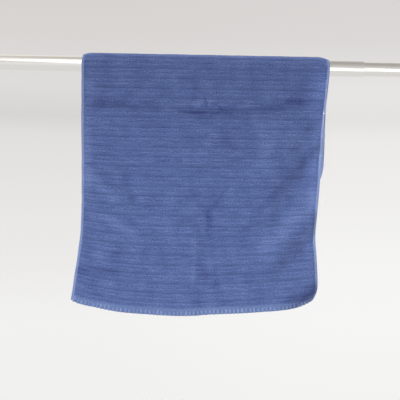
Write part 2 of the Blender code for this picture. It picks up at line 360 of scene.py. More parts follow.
def unevenness(across, along):
    """Weak waves of the cloth: broad ones, and closer ones that run along the bands."""
    x = across * TOWEL_WIDTH
    close_x = CLOSE_WAVE_STRETCH * x / CLOSE_WAVE
    broad = noise.noise(Vector((x / BROAD_WAVE, along / BROAD_WAVE, BROAD_SEED)))
    close = noise.noise(Vector((close_x, along / CLOSE_WAVE, CLOSE_SEED)))
    return BROAD_WAVE_RISE * broad + CLOSE_WAVE_RISE * close


def corner_pull(across, along):
    """How far a point is drawn in from the side edge and from the hem."""
    pull_x = pull_z = 0.0
    for side, end, drawn_in in CORNERS:
        from_side = abs(across - side) * TOWEL_WIDTH / CORNER_REACH
        from_end = abs(along - end) / CORNER_REACH
        if from_side < 1 and from_end < 1:
            amount = drawn_in * (1 - from_side) ** 2 * (1 - from_end) ** 2
            pull_x += amount if side == 0.0 else -amount
            pull_z += amount
    return pull_x, pull_z


def tight_share(across, depth):
    """The share of the width at which to read a hem's lift, at a depth from 0 to 1."""
    low_point = min(HEM_LIFT, key=lambda row: row[1])[0]
    margin = TIGHT_MARGIN + (1 - TIGHT_MARGIN) * depth ** 2
    if across < low_point:
        return min(across / margin, low_point)
    return max(1 - (1 - across) / margin, low_point)


def roll_corner(x, z):
    """Rolls the front layer's right corner back. Gives the new x and z, and how far back."""
    toward_x, toward_z = CORNER_ROLL_TOWARDS
    beyond = (x - CORNER_ROLL_START[0]) * toward_x + (z - CORNER_ROLL_START[1]) * toward_z
    if beyond <= 0:
        return x, z, 0.0
    angle = beyond / CORNER_ROLL_RADIUS
    drawn_in = beyond - CORNER_ROLL_RADIUS * math.sin(angle)
    back = CORNER_ROLL_RADIUS * (1 - math.cos(angle))
    return x - toward_x * drawn_in, z - toward_z * drawn_in, back


def draped_point(across, along):
    """Where a point of the cloth's middle surface hangs.

    across is a share of the width from the left edge, and along is the distance from
    the front hem: the front layer is along < CREST, and the back layer is beyond it.
    """
    left = smooth_value(EDGES, 1, along)
    right = smooth_value(EDGES, 2, along)
    x = left + across * (right - left)
    from_crest = along - CREST
    side = -1.0 if from_crest < 0 else 1.0
    below_axis = abs(from_crest) - QUARTER_BEND
    if below_axis <= 0:
        angle = from_crest / BEND_RADIUS
        y, z = BEND_RADIUS * math.sin(angle), BEND_RADIUS * math.cos(angle)
        return TOWEL_MIDDLE + x, y, z
    depth = below_axis / (FRONT_DROP if side < 0 else BACK_DROP)
    lift = smooth_value(HEM_LIFT, 1 if side < 0 else 2, tight_share(across, depth))
    pull_x, pull_z = corner_pull(across, along)
    x += pull_x
    z = -below_axis + lift * depth ** SAG_POWER + pull_z
    folds = FRONT_FOLDS + CRUMPLES if side < 0 else BACK_FOLDS
    ease = min(1.0, below_axis / FOLD_START)
    rise = ease * sum(fold_rise(fold, x, z) for fold in folds)
    rise += ease * unevenness(across, along)
    rise -= ease * EDGE_ROLL * abs(2 * across - 1) ** EDGE_ROLL_POWER
    back = 0.0
    if side < 0:
        x, z, back = roll_corner(x, z)
    return TOWEL_MIDDLE + x, side * (BEND_RADIUS + rise) + back, z


print("lowest point of the hem:", [round(v, 4) for v in draped_point(0.42, 0.0)])

# %% [markdown]
# ## Where the cloth needs points
# A groove is only three millimetres wide, so it needs four rows of points of its own, while
# a band can do with a row every two or three millimetres. The middle, where the creases
# cross, gets closer columns than the sides. The whole sheet has to stay under 200,000
# triangles, and this spends them where something small has to show.

# %% Rows and columns of points
HEM_ROWS = (0.0, 0.0010, 0.0030, 0.0060, 0.0090, 0.0120, 0.0143, 0.0158)
HEM_COLUMNS = (0.0, 0.0010, 0.0030, 0.0052, 0.0070)
GROOVE_OFFSETS = (-GROOVE_HALF_WIDTH, -0.0005, 0.0005, GROOVE_HALF_WIDTH)
CLOSE_MIDDLE = (0.185, 0.305)
BAND_STEP = 0.0024
SIDE_STEP = 0.0051
MIDDLE_STEP = 0.0031
STEP_ROUNDING = 1e-6


def filled(keys, largest_step):
    """Adds points between the keys, so that no gap is larger than a step."""
    points = [keys[0]]
    for start, end in zip(keys, keys[1:]):
        steps = math.ceil((end - start) / largest_step - STEP_ROUNDING)
        points += [start + (end - start) * step / steps for step in range(1, steps + 1)]
    return points


hem_end = [TOWEL_LENGTH - row for row in reversed(HEM_ROWS)]
groove_rows = [middle + offset for middle in GROOVES for offset in GROOVE_OFFSETS]
ROWS = filled([*HEM_ROWS, *groove_rows, *hem_end], BAND_STEP)

right_hem = [TOWEL_WIDTH - column for column in reversed(HEM_COLUMNS)]
left_part = filled([HEM_COLUMNS[-1], CLOSE_MIDDLE[0]], SIDE_STEP)
middle_part = filled(CLOSE_MIDDLE, MIDDLE_STEP)
right_part = filled([CLOSE_MIDDLE[1], right_hem[0]], SIDE_STEP)
COLUMNS = [*HEM_COLUMNS[:-1], *left_part, *middle_part[1:-1], *right_part, *right_hem[1:]]
print("rows", len(ROWS), "columns", len(COLUMNS),
      "triangles", 4 * (len(ROWS) * len(COLUMNS) - 1))

# %% [markdown]
# ## Cutting and hanging the cloth
# The sheet starts as a flat grid with as many rows and columns as were planned. Before it is
# hung, every point is told its place on the flat cloth, in metres, as a UV map: the weave
# and the hems of the material follow that map, so they turn over the rod with the cloth. A
# second map counts the bands, which puts the pattern's grooves exactly on the mesh's.

# %% Cut the flat cloth
import bisect

bpy.ops.object.select_all(action="DESELECT")
bpy.ops.mesh.primitive_grid_add(
    x_subdivisions=len(COLUMNS) - 1, y_subdivisions=len(ROWS) - 1, size=1.0, calc_uvs=False
)
cloth = bpy.context.object
cloth.name = "towel_cloth"


def band_count(along):
    """How many grooves lie below a place on the cloth, with the part of the band as decimals."""
    if along <= GROOVES[0]:
        return (along - GROOVES[0]) / END_RIB_PITCH
    if along >= GROOVES[-1]:
        return GROOVE_COUNT - 1 + (along - GROOVES[-1]) / END_RIB_PITCH
    below = bisect.bisect_right(GROOVES, along) - 1
    return below + (along - GROOVES[below]) / (GROOVES[below + 1] - GROOVES[below])


band_counts = [band_count(along) for along in ROWS]
flat_map = cloth.data.uv_layers.new(name="cloth")
band_map = cloth.data.uv_layers.new(name="bands")
for loop in cloth.data.loops:
    row, column = divmod(loop.vertex_index, len(COLUMNS))
    flat_map.data[loop.index].uv = (COLUMNS[column], ROWS[row])
    band_map.data[loop.index].uv = (COLUMNS[column], band_counts[row])
print("cut", len(cloth.data.vertices), "points, bands", round(band_counts[-1], 2))

# %% Hang the cloth over the rod
for vertex in cloth.data.vertices:
    row, column = divmod(vertex.index, len(COLUMNS))
    vertex.co = draped_point(COLUMNS[column] / TOWEL_WIDTH, ROWS[row])
cloth.data.update()
middle_points = [vertex.co.copy() for vertex in cloth.data.vertices]
middle_normals = [vertex.normal.copy() for vertex in cloth.data.vertices]
print("hung; first normal", [round(v, 2) for v in middle_normals[len(COLUMNS) // 2]])

# %% [markdown]
# ## Thickness
# Terry is thick where its loops stand and thin in the grooves and hems. A Solidify modifier
# gives the sheet two faces and closes its rim, and a vertex group tells it how much of the
# full thickness each point gets. The groove's depth wanders along its length, as loops lean
# over it here and there, so no two grooves look alike.

# %% Give the cloth its thickness
PILE_THICKNESS = 0.0047
GROOVE_DEPTH = 0.0021
HEM_THICKNESS = 0.0036
HEM_EDGE_THICKNESS = 0.0022
SEAM_THICKNESS = 0.0030
EDGE_ROUNDING = 0.0010
SEAM_START = 0.8
GROOVE_ROUNDNESS = 0.5
GROOVE_EVEN = 0.85
GROOVE_UNEVEN = 0.5
GROOVE_WANDER = 0.035
GROOVE_SEED = 1.5
NEXT_GROOVE = 4.3


def hem_thickness(from_edge, hem_width):
    """Thickness of a hem at a distance from its edge: round edge, flat middle, tight seam."""
    if from_edge < EDGE_ROUNDING:
        return HEM_EDGE_THICKNESS
    return SEAM_THICKNESS if from_edge > SEAM_START * hem_width else HEM_THICKNESS


def cloth_thickness(across, along, bands):
    """Thickness at a place on the flat cloth."""
    from_side = min(across, TOWEL_WIDTH - across)
    from_end = min(along, TOWEL_LENGTH - along)
    hems = ((from_side, SIDE_HEM), (from_end, END_HEM))
    in_hems = [hem_thickness(inside, width) for inside, width in hems if inside <= width]
    if in_hems:
        return min(in_hems)
    groove = round(bands)
    from_groove = abs(bands - groove) * RIB_PITCH
    lean = noise.noise(Vector((across / GROOVE_WANDER, NEXT_GROOVE * groove, GROOVE_SEED)))
    share = max(0.0, 1 - from_groove / GROOVE_HALF_WIDTH) ** GROOVE_ROUNDNESS
    return PILE_THICKNESS - GROOVE_DEPTH * share * (GROOVE_EVEN + GROOVE_UNEVEN * lean)


thickness_group = cloth.vertex_groups.new(name="thickness")
for index in range(len(middle_points)):
    row, column = divmod(index, len(COLUMNS))
    thickness = cloth_thickness(COLUMNS[column], ROWS[row], band_counts[row])
    thickness_group.add([index], min(thickness / PILE_THICKNESS, 1.0), "REPLACE")

shell = cloth.modifiers.new("terry", "SOLIDIFY")
shell.thickness = PILE_THICKNESS
shell.offset = 0.0
shell.vertex_group = thickness_group.name
bpy.ops.object.modifier_apply(modifier=shell.name)
bpy.ops.object.shade_smooth()
print("two faces:", len(cloth.data.vertices), "points")

# %% [markdown]
# ## The pile stands unevenly
# Washed terry never lies flat: the loops of one row lean together and form low ridges that
# run across the towel, about three millimetres apart and a third of one high. Noise that is
# stretched along X gives these, and it moves real points, so the rim and the side views show
# them as well. On the outside of the bend the loops are spread apart and stand taller. On
# its inside they are pressed against the rod, so any point that would be inside the rod is
# pushed out of it. Each point of the front layer and of the bend is also given its share of
# the marks of painted shade and light, for the finish to read.

# %% Raise the pile
STREAK_LENGTH = 0.028
STREAK_HEIGHT = 0.0030
STREAK_RISE = 0.00032
CLUMP_SIZE = 0.0085
CLUMP_RISE = 0.00030
OPEN_PILE = 0.0022
OPEN_PILE_START = 0.013
ROD_CLEARANCE = 0.0003
FACE_SEED = 11.3
CLUMP_SEED = 5.1


def uneven_rise(across, along, face_side):
    """How far the loops stand out at a place on one face of the flat cloth."""
    seed = FACE_SEED * face_side
    streak = noise.noise(Vector((across / STREAK_LENGTH, along / STREAK_HEIGHT, seed)))
    clump = noise.noise(Vector((across / CLUMP_SIZE, along / CLUMP_SIZE, seed + CLUMP_SEED)))
    return STREAK_RISE * streak + CLUMP_RISE * clump


bpy.context.view_layer.update()
shade_and_light_marks = cloth.data.attributes.new("tone", "FLOAT", "POINT")
for vertex, normal in zip(cloth.data.vertices, [v.normal.copy() for v in cloth.data.vertices]):
    face_side, index = divmod(vertex.index, len(middle_points))
    middle = middle_points[index]
    row, column = divmod(index, len(COLUMNS))
    across, along = COLUMNS[column], ROWS[row]
    from_side = min(across, TOWEL_WIDTH - across)
    from_end = min(along, TOWEL_LENGTH - along)
    if along < CREST + QUARTER_BEND:
        # Sum of the painted shade and light marks at this point of the front layer or the bend
        marks = [fold_rise(mark, middle.x - TOWEL_MIDDLE, middle.z) for mark in PAINTED_SHADE_AND_LIGHT]
        shade_and_light_marks.data[vertex.index].value = sum(marks)
    if from_side > SIDE_HEM and from_end > END_HEM:
        vertex.co += normal * uneven_rise(across, along, face_side)
    if abs(along - CREST) < QUARTER_BEND and normal.y * middle.y + normal.z * middle.z > 0:
        share = min(1.0, from_side / OPEN_PILE_START)
        vertex.co += normal * OPEN_PILE * share * (middle.z / BEND_RADIUS) ** 2
    from_axis = math.hypot(vertex.co.y, vertex.co.z)
    if from_axis < TUBE_RADIUS + ROD_CLEARANCE:
        push = (TUBE_RADIUS + ROD_CLEARANCE) / from_axis
        vertex.co.y *= push
        vertex.co.z *= push
cloth.data.update()
print("pile raised; box in mm:", [round(1000 * size) for size in cloth.dimensions])

# %% [markdown]
# ## Node helpers
# Every finish here is a small network of shader nodes. Written out one call at a time they
# are hard to read, so helpers do the wiring. The first adds a node, sets its options and
# links or sets its sockets, and the others build on it: a sum, a soft step, a noise, a row
# of colours to run through, and a height that raises the shaded surface.


# %% Node helpers
def add_node(tree, kind, sockets, **options):
    """Adds a shader node. A socket's value is either another node's output or a number."""
    node = tree.nodes.new(kind)
    for option, value in options.items():
        setattr(node, option, value)
    for socket, value in sockets.items():
        if isinstance(value, bpy.types.NodeSocket):
            tree.links.new(value, node.inputs[socket])
        else:
            node.inputs[socket].default_value = value
    return node


def calculate(tree, operation, *values):
    """One sum on one, two or three values. Gives its result's socket."""
    sockets = dict(enumerate(values))
    return add_node(tree, "ShaderNodeMath", sockets, operation=operation).outputs[0]


def centred(tree, value):
    """Moves a value between 0 and 1 to lie between -0.5 and 0.5."""
    return calculate(tree, "SUBTRACT", value, 0.5)


def weighted_sum(tree, base, parts):
    """Adds to a base some values, each of them multiplied by its own weight."""
    total = base
    for value, weight in parts:
        total = calculate(tree, "MULTIPLY_ADD", value, weight, total)
    return total


def smooth_range(tree, value, low, high, to_low=0.0, to_high=1.0):
    """Turns low..high into to_low..to_high with soft ends."""
    sockets = {"Value": value, "From Min": low, "From Max": high,
               "To Min": to_low, "To Max": to_high}
    node = add_node(tree, "ShaderNodeMapRange", sockets, interpolation_type="SMOOTHSTEP")
    return node.outputs["Result"]


def noise_value(tree, vector, scale, detail=1.0, roughness=0.5):
    """Noise between 0 and 1 at a place."""
    sockets = {"Vector": vector, "Scale": scale, "Detail": detail, "Roughness": roughness}
    return add_node(tree, "ShaderNodeTexNoise", sockets, noise_dimensions="3D").outputs["Fac"]


def mixed_colour(tree, share, first, second):
    """A colour between two others."""
    sockets = {0: share, 6: first, 7: second}
    return add_node(tree, "ShaderNodeMix", sockets, data_type="RGBA").outputs[2]


def colour_ramp(tree, value, stops):
    """Turns a value into a colour. Each stop is the value at a colour, and that colour."""
    ramp = add_node(tree, "ShaderNodeValToRGB", {"Fac": value})
    elements = ramp.color_ramp.elements
    elements[0].position, elements[0].color = stops[0]
    elements[1].position, elements[1].color = stops[-1]
    for position, colour in stops[1:-1]:
        elements.new(position).color = colour
    return ramp.outputs["Color"]


def add_bump(tree, shader, height, strength, distance):
    """Lets a height raise the shaded surface. A height of 1 raises it by the distance."""
    sockets = {"Height": height, "Strength": strength, "Distance": distance}
    bump = add_node(tree, "ShaderNodeBump", sockets)
    tree.links.new(bump.outputs["Normal"], shader.inputs["Normal"])


def new_group(name, inputs, outputs):
    """A node group with named sockets. Gives its tree and its two end nodes."""
    tree = bpy.data.node_groups.new(name, "ShaderNodeTree")
    for label, kind, value in inputs:
        socket = tree.interface.new_socket(label, in_out="INPUT", socket_type=kind)
        socket.default_value = value
    for label, kind in outputs:
        tree.interface.new_socket(label, in_out="OUTPUT", socket_type=kind)
    return tree, tree.nodes.new("NodeGroupInput"), tree.nodes.new("NodeGroupOutput")


def use_group(tree, group, sockets):
    """Places a node group in a tree, with its own values."""
    return add_node(tree, "ShaderNodeGroup", sockets, node_tree=group)


def new_material(name):
    """A material with its shader. Gives the material, its tree and the shader."""
    material = bpy.data.materials.new(name)
    material.use_nodes = True
    return material, material.node_tree, material.node_tree.nodes["Principled BSDF"]


def set_sockets(shader, values):
    """Sets sockets of a shader that stay the same all over the surface."""
    for socket, value in values.items():
        shader.inputs[socket].default_value = value


print("node helpers ready")

# %% [markdown]
# ## Yarn as a shared effect
# Pile, hem and sewing yarn are all cotton from the same dye bath. Seen close, cotton yarn is
# never one even colour: it has fine streaks along its rows and small specks where a loop
# catches the light. Three finishes need this, so it is one node group with its own inputs for
# the length and height of a streak.

# %% Yarn group
VECTOR, FLOAT = "NodeSocketVector", "NodeSocketFloat"
LOOPS_PER_SPECK = 2.4

yarn_group, start, end = new_group(
    "cotton_yarn",
    [("Place", VECTOR, (0.0, 0.0, 0.0)), ("Streak length", FLOAT, 0.030),
     ("Streak height", FLOAT, 0.0018), ("Speck size", FLOAT, 0.003)],
    [("Streaks", FLOAT), ("Specks", FLOAT), ("Loops", FLOAT)],
)
axes = add_node(yarn_group, "ShaderNodeSeparateXYZ", {"Vector": start.outputs["Place"]})
streak_x = calculate(yarn_group, "DIVIDE", axes.outputs["X"], start.outputs["Streak length"])
streak_y = calculate(yarn_group, "DIVIDE", axes.outputs["Y"], start.outputs["Streak height"])
streak_place = add_node(yarn_group, "ShaderNodeCombineXYZ", {"X": streak_x, "Y": streak_y})
streaks = noise_value(yarn_group, streak_place.outputs[0], 1.0, detail=2.0, roughness=0.6)
speck_scale = calculate(yarn_group, "DIVIDE", 1.0, start.outputs["Speck size"])
specks = noise_value(yarn_group, start.outputs["Place"], speck_scale, detail=2.0, roughness=0.65)
loop_scale = calculate(yarn_group, "MULTIPLY", speck_scale, LOOPS_PER_SPECK)
loops = add_node(yarn_group, "ShaderNodeTexVoronoi",
                 {"Vector": start.outputs["Place"], "Scale": loop_scale}).outputs["Distance"]
for socket, value in (("Streaks", streaks), ("Specks", specks), ("Loops", loops)):
    yarn_group.links.new(value, end.inputs[socket])
print("group sockets:", [item.name for item in yarn_group.interface.items_tree])

# %% [markdown]
# ## Terry pile
# The pile is a muted blue with painted shade in the grooves, where light hardly reaches,
# and paler where the loops stand up. Four finer lines run through each band, two deeper and
# two paler, where the height of the loops changed on the loom; beside each groove they are
# also painted shade just above it and painted light just below it, as the front layer
# hangs. All lines fade and come back along their length. Beside a groove the pile is
# smooth, and its specks show most in the middle of a band. The finish counts the bands on
# the second UV map, so that its lines sit in the mesh's own. Image textures could do this
# too, but they would blur up close.

# %% Terry pile material
DEEP_BLUE = (0.0275, 0.0405, 0.127, 1.0)
TOWEL_BLUE = (0.0612, 0.0912, 0.2195, 1.0)
PALE_BLUE = (0.111, 0.153, 0.318, 1.0)
# Lines within a band, in parts of the distance from one groove to the next
GROOVE_CORE = 0.015
GROOVE_SIDE = 0.065
FINE_CORE = 0.010
LINE_WANDER = 0.09
# How much paler a groove is than the pile, below zero as painted shade, and how far it is raised
GROOVE_PALER = -0.22
GROOVE_RAISED = -0.55
# Beside each groove, the deeper line above it is painted shade and the paler line below it painted
# light
# Columns: place in the band, half width, seed, how much paler, how far raised
FINE_LINES = (
    (0.19, 0.075, 3.1, -0.10, -0.20),
    (-0.44, 0.070, 7.7, -0.14, -0.25),
    (-0.21, 0.070, 5.3, 0.14, 0.15),
    (0.38, 0.075, 9.9, 0.18, 0.15),
)
# Fading of the lines: scale of the noise, the range it works in, and the faintest strength
GROOVE_FADE = (27.0, 0.30, 0.62, 0.25)
FINE_FADE = (30.0, 0.36, 0.60, 0.10)
WANDER_SCALE = 36.0
NEXT_LINE = 0.37

terry, tree, shader = new_material("terry_pile")
place = add_node(tree, "ShaderNodeUVMap", {}, uv_map="cloth").outputs["UV"]
bands = add_node(tree, "ShaderNodeUVMap", {}, uv_map="bands").outputs["UV"]
band_axes = add_node(tree, "ShaderNodeSeparateXYZ", {"Vector": bands})
across, band = band_axes.outputs["X"], band_axes.outputs["Y"]
nearest = calculate(tree, "ROUND", band)
own_row = calculate(tree, "MULTIPLY", nearest, NEXT_LINE)


def line_place(seed=0.0):
    """Where a line of the present band reads its noise."""
    sockets = {"X": across, "Y": own_row, "Z": seed}
    return add_node(tree, "ShaderNodeCombineXYZ", sockets).outputs[0]


wander = calculate(tree, "MULTIPLY", LINE_WANDER,
                   centred(tree, noise_value(tree, line_place(), WANDER_SCALE)))
phase = calculate(tree, "ADD", calculate(tree, "SUBTRACT", band, nearest), wander)


def distance_to(offset):
    """How far a point is from a place in the band."""
    return calculate(tree, "ABSOLUTE", calculate(tree, "SUBTRACT", phase, offset))


def line_strength(offset, core, side, fade, seed=0.0):
    """How strong a line is at a place: full within its core, and nothing past its side."""
    scale, low, high, faintest = fade
    fading = noise_value(tree, line_place(seed), scale, detail=2.0)
    shape = smooth_range(tree, distance_to(offset), core, side, 1.0, 0.0)
    return calculate(tree, "MULTIPLY", shape, smooth_range(tree, fading, low, high, faintest))


groove = line_strength(0.0, GROOVE_CORE, GROOVE_SIDE, GROOVE_FADE)
paler_parts = [(groove, GROOVE_PALER)]
raised_parts = [(groove, GROOVE_RAISED)]
for offset, half_width, seed, paler, raised in FINE_LINES:
    line = line_strength(offset, FINE_CORE, half_width, FINE_FADE, seed)
    paler_parts.append((line, paler))
    raised_parts.append((line, raised))
print("lines in a band:", len(paler_parts))

# %% Put the lines, the yarn and the marks together
BASE_TONE = 0.08
STREAK_PALER = 0.82
PATCH_PALER = 0.50
PATCH_SCALE = 30.0
# How much paler a speck is in the smooth pile beside a groove, and in the middle of a band
SPECK_PALER = (0.95, 1.80)
SMOOTH_PLACE = 0.08
SMOOTH_TO_MIDDLE = (0.10, 0.42)
STREAK_RAISED = 0.60
SPECK_RAISED = 0.50
LOOP_RAISED = -0.22
PILE_BUMP_STRENGTH = 0.75
PILE_BUMP = 0.0011

yarn = use_group(tree, yarn_group, {"Place": place})
streaks, specks, loops = (yarn.outputs[name] for name in ("Streaks", "Specks", "Loops"))
speckle = smooth_range(tree, distance_to(SMOOTH_PLACE), *SMOOTH_TO_MIDDLE, *SPECK_PALER)
patches = centred(tree, noise_value(tree, place, PATCH_SCALE, detail=2.0))
# Painted shade and light of the folds, edges and bend, read from the cloth's attribute
painted_shading = add_node(tree, "ShaderNodeAttribute", {}, attribute_name="tone").outputs["Fac"]
tone = weighted_sum(tree, BASE_TONE, [
    (streaks, STREAK_PALER),
    (centred(tree, specks), speckle),
    (patches, PATCH_PALER),
    *paler_parts,
    (painted_shading, 1.0),
])
blues = colour_ramp(tree, tone, ((0.0, DEEP_BLUE), (0.5, TOWEL_BLUE), (1.0, PALE_BLUE)))
tree.links.new(blues, shader.inputs["Base Color"])
height = weighted_sum(tree, 0.0, [
    (streaks, STREAK_RAISED),
    (specks, SPECK_RAISED),
    (loops, LOOP_RAISED),
    *raised_parts,
])
add_bump(tree, shader, height, PILE_BUMP_STRENGTH, PILE_BUMP)
set_sockets(shader, {
    "Roughness": 0.95,
    "Specular IOR Level": 0.15,
    "Sheen Weight": 0.22,
    "Sheen Roughness": 0.5,
    "Sheen Tint": (0.62, 0.70, 1.0, 1.0),
})
print("terry nodes:", len(tree.nodes))

# %% [markdown]
# ## Hem cloth
# A hem is the towel's ground weave with no loops on it, turned in twice and pressed, so it
# is flatter, tighter and plainly paler than the pile. Towards its side edges it is paler
# still, a painted highlight on the turned edges, and the pile's painted shade and light runs
# on over it. It has its own material on the same mesh, and every face whose place on the
# flat cloth lies in a hem is given it.

# %% Hem material
HEM_SHADE = (0.064, 0.092, 0.212, 1.0)
HEM_BLUE = (0.084, 0.127, 0.268, 1.0)
HEM_PALE = (0.150, 0.190, 0.330, 1.0)
HEM_BASE_TONE = 0.15
HEM_STREAK_PALER = 0.7
HEM_SPECK_PALER = 0.6
# Weight of the pile's painted shade and light on the hem
HEM_PAINTED_SHADING = 1.5
HEM_YARN = {"Streak length": 0.005, "Streak height": 0.005, "Speck size": 0.0022}
# Painted highlight: the hem grows paler over this distance towards its side edge
EDGE_HIGHLIGHT_SPAN = (0.001, 0.009)
EDGE_HIGHLIGHT_PALER = 0.55

hem, tree, shader = new_material("hem_weave")
place = add_node(tree, "ShaderNodeUVMap", {}, uv_map="cloth").outputs["UV"]
yarn = use_group(tree, yarn_group, {"Place": place, **HEM_YARN})
streaks, specks = yarn.outputs["Streaks"], yarn.outputs["Specks"]
across = add_node(tree, "ShaderNodeSeparateXYZ", {"Vector": place}).outputs["X"]
from_side = calculate(tree, "MINIMUM", across, calculate(tree, "SUBTRACT", TOWEL_WIDTH, across))
edge_highlight = smooth_range(tree, from_side, *EDGE_HIGHLIGHT_SPAN, EDGE_HIGHLIGHT_PALER, 0.0)
painted_shading = add_node(tree, "ShaderNodeAttribute", {}, attribute_name="tone").outputs["Fac"]
tone = weighted_sum(tree, HEM_BASE_TONE, [
    (streaks, HEM_STREAK_PALER),
    (centred(tree, specks), HEM_SPECK_PALER),
    (painted_shading, HEM_PAINTED_SHADING),
    (edge_highlight, 1.0),
])
blues = colour_ramp(tree, tone, ((0.0, HEM_SHADE), (0.5, HEM_BLUE), (1.0, HEM_PALE)))
tree.links.new(blues, shader.inputs["Base Color"])
add_bump(tree, shader, specks, strength=0.5, distance=0.0006)
set_sockets(shader, {
    "Roughness": 0.9,
    "Specular IOR Level": 0.2,
    "Sheen Weight": 0.12,
    "Sheen Roughness": 0.5,
})

cloth.data.materials.append(terry)
cloth.data.materials.append(hem)
flat_map = cloth.data.uv_layers["cloth"]
for face in cloth.data.polygons:
    places = [flat_map.data[loop].uv for loop in face.loop_indices]
    across = sum(uv[0] for uv in places) / len(places)
    along = sum(uv[1] for uv in places) / len(places)
    in_side = min(across, TOWEL_WIDTH - across) < SIDE_HEM
    in_end = min(along, TOWEL_LENGTH - along) < END_HEM
    face.material_index = 1 if in_side or in_end else 0
print("hem faces:", sum(face.material_index for face in cloth.data.polygons))

# %% [markdown]
# ## The local frame of the cloth
# Stitches are small and there are many of them, so each kind is modelled once and copied.
# A copy needs to know where it goes and how it is turned: this helper gives a matrix whose
# X runs across the cloth, whose Y runs along it and whose Z stands out of its front face.

# %% Cloth frame
from mathutils import Matrix

SMALL_STEP = 0.0008


def cloth_frame(across, along, outward=0.0):
    """Matrix at a place on the flat cloth, moved out of its front face by a distance."""
    share = across / TOWEL_WIDTH
    here = Vector(draped_point(share, along))
    aside = Vector(draped_point(share + SMALL_STEP / TOWEL_WIDTH, along))
    beyond = Vector(draped_point(share, along + SMALL_STEP))
    along_x = (aside - here).normalized()
    out = along_x.cross(beyond - here).normalized()
    up = out.cross(along_x)
    frame_matrix = Matrix((along_x, up, out)).transposed().to_4x4()
    frame_matrix.translation = here + out * outward
    return frame_matrix


def copy_to(model, matrices, name):
    """Copies a modelled piece to each matrix, joins the copies and removes the model."""
    bpy.ops.object.select_all(action="DESELECT")
    for matrix in matrices:
        mesh = model.data.copy()
        mesh.transform(matrix)
        one = bpy.data.objects.new(name, mesh)
        bpy.context.scene.collection.objects.link(one)
        one.select_set(True)
        bpy.context.view_layer.objects.active = one
    bpy.ops.object.join()
    joined = bpy.context.object
    joined.name = name
    bpy.data.objects.remove(model)
    return joined


print("front face points to", [round(v, 2) for v in cloth_frame(0.25, 0.25).col[2][:3]])

# %% [markdown]
# ## Overcast yarn of the end hems
# Both ends are finished with a thick soft yarn that goes round the edge of the hem every
# eight millimetres, and shows as pale ticks. One turn of it is modelled as it lies: a flat
# ring of points is drawn up the back, spun half round the edge and drawn up the front. The
# copies lean and differ a little, because the hem puckers between them.

# %% Model one turn of yarn
import random

TURN_PITCH = 0.0081
TURN_WIDTH = 0.0034
TURN_HEIGHT = 0.0012
TURN_RUN = 0.0078
TURN_OUT = 0.0020
TURN_INSIDE = 0.0018
RING_POINTS = 8
BEND_STEPS = 6
RUN_PARTS = (0.4, 0.6)
MERGE_DISTANCE = 0.00001


def extrude(x=0.0, y=0.0):
    """Extrudes what is selected, along X or Y."""
    bpy.ops.mesh.extrude_region_move(TRANSFORM_OT_translate={"value": (x, y, 0)})


def model_turn():
    """One turn of yarn round an edge that lies on X, with the cloth above it on Y."""
    bpy.ops.object.select_all(action="DESELECT")
    bpy.ops.mesh.primitive_circle_add(vertices=RING_POINTS, radius=0.5, fill_type="NGON")
    turn = bpy.context.object
    bpy.ops.object.mode_set(mode="EDIT")
    bpy.ops.mesh.select_all(action="SELECT")
    bpy.ops.transform.resize(value=(TURN_WIDTH, TURN_HEIGHT, 1.0))
    bpy.ops.transform.rotate(value=math.pi / 2, orient_axis="X", center_override=(0, 0, 0))
    bpy.ops.transform.translate(value=(0.0, TURN_RUN, -TURN_OUT))
    for part in RUN_PARTS:
        extrude(y=-part * TURN_RUN)
    bpy.ops.mesh.spin(steps=BEND_STEPS, angle=math.pi, center=(0, 0, 0), axis=(1, 0, 0))
    for part in reversed(RUN_PARTS):
        extrude(y=part * TURN_RUN)
    bpy.ops.mesh.select_all(action="SELECT")
    bpy.ops.mesh.remove_doubles(threshold=MERGE_DISTANCE)
    bpy.ops.mesh.normals_make_consistent(inside=False)
    bpy.ops.object.mode_set(mode="OBJECT")
    bpy.ops.object.shade_smooth()
    return turn


turn = model_turn()
print("one turn:", len(turn.data.polygons), "faces, size in mm",
      [round(1000 * size, 1) for size in turn.dimensions])

# %% Copy it along both hems
TURN_SEED = 5
TURN_LEAN = 0.10
TURN_JITTER = 0.0006
TURN_WIDTHS = (0.65, 1.25)
TURN_LENGTHS = (0.80, 1.10)
TURN_MARGIN = 0.002


def hem_turns(at_end, seed):
    """A matrix for each turn of yarn along a hem."""
    draw = random.Random(seed)
    run = TOWEL_WIDTH - 2 * SIDE_HEM
    count = round(run / TURN_PITCH)
    along = TOWEL_LENGTH - TURN_INSIDE if at_end else TURN_INSIDE
    facing = math.pi if at_end else 0.0
    matrices = []
    for number in range(count + 1):
        across = SIDE_HEM + number * run / count + draw.uniform(-TURN_JITTER, TURN_JITTER)
        across = min(max(across, TURN_MARGIN), TOWEL_WIDTH - TURN_MARGIN)
        lean = draw.uniform(-TURN_LEAN, TURN_LEAN)
        stretch = (draw.uniform(*TURN_WIDTHS), draw.uniform(*TURN_LENGTHS), 1.0, 1.0)
        turned = cloth_frame(across, along) @ Matrix.Rotation(facing + lean, 4, "Z")
        matrices.append(turned @ Matrix.Diagonal(stretch))
    return matrices


front_turns = copy_to(turn, hem_turns(False, TURN_SEED), "front_hem_yarn")
back_turns = copy_to(model_turn(), hem_turns(True, TURN_SEED + 1), "back_hem_yarn")
print("yarn faces:", len(front_turns.data.polygons), len(back_turns.data.polygons))

# %% [markdown]
# ## Stitches of the side hems
# Each side hem is held by one line of lockstitch on both faces of the cloth. A stitch is a
# short run of thread that dips into the cloth at both ends, so a small sphere is drawn out
# along the seam and flattened, and copied every three millimetres.

# %% Model one stitch and sew the side hems
STITCH_PITCH = 0.0031
STITCH_SIZE = (0.00055, 0.0025, 0.00050)
STITCH_SIDES = 6
STITCH_RINGS = 4
SEAM_FROM_EDGE = 0.0068


